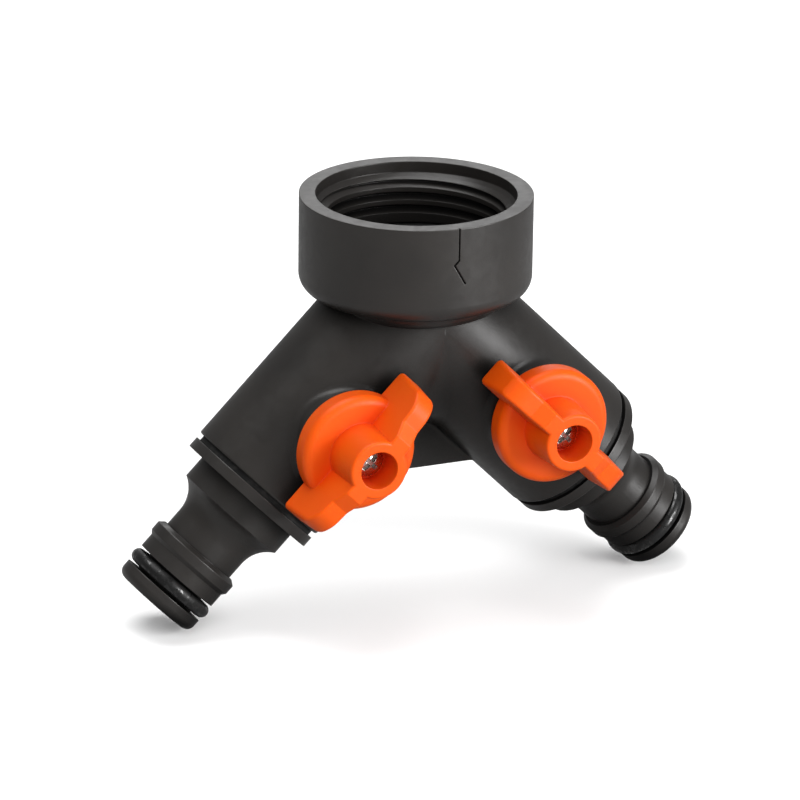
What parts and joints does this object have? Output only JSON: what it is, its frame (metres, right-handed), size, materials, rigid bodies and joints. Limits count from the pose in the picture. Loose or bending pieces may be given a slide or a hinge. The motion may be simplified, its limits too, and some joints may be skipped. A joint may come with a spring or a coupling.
{
  "type": "hose splitter",
  "caption": "Two-way hose splitter: threaded inlet nut, forked body with a lever-operated ball valve in each leg, and a stepped quick-connect nipple on each outlet.",
  "frame": {"origin": "on the inlet's axis, at the mouth of its thread, 3.3 mm below the union nut's rim", "axes": "+Z out of the inlet, the legs in the XZ plane, the handles towards -Y"},
  "size_m": [0.1058, 0.0478, 0.0731],
  "materials": {
    "body_plastic": "satin",
    "orange_plastic": "satin",
    "black_rubber": "greased",
    "white_plastic": "smooth",
    "chromed_brass": "polished",
    "brass": "turned",
    "steel": "bright"
  },
  "bodies": {
    "body": {"body": "body_plastic", "retaining_ring": "white_plastic", "inlet_gasket": "black_rubber", "ball_seat_inner_left": "white_plastic", "ball_seat_inner_right": "white_plastic", "ball_seat_outer_left": "white_plastic", "ball_seat_outer_right": "white_plastic", "nipple_left": "body_plastic", "nipple_right": "body_plastic", "nipple_oring_left": "black_rubber", "nipple_oring_right": "black_rubber", "nipple_seal_left": "black_rubber", "nipple_seal_right": "black_rubber"},
    "nut": {"union_nut": "body_plastic"},
    "valve_left": {"ball_left": "chromed_brass", "spindle_left": "brass", "spindle_oring_left": "black_rubber", "handle_left": "orange_plastic", "handle_screw_left": "steel"},
    "valve_right": {"ball_right": "chromed_brass", "spindle_right": "brass", "spindle_oring_right": "black_rubber", "handle_right": "orange_plastic", "handle_screw_right": "steel"}
  },
  "joints": [
    {"name": "nut_swivel", "type": "hinge", "parent": "body", "child": "nut", "pos_m": [0, 0, -0.0113], "axis": [0, 0, 1], "continuous": true},
    {"name": "handle_left_turn", "type": "hinge", "parent": "body", "child": "valve_left", "pos_m": [-0.01789, 0, -0.03479], "axis": [0, -1, 0], "range_deg": [-90, 0]},
    {"name": "handle_right_turn", "type": "hinge", "parent": "body", "child": "valve_right", "pos_m": [0.01789, 0, -0.03479], "axis": [0, -1, 0], "range_deg": [-90, 0]}
  ]
}
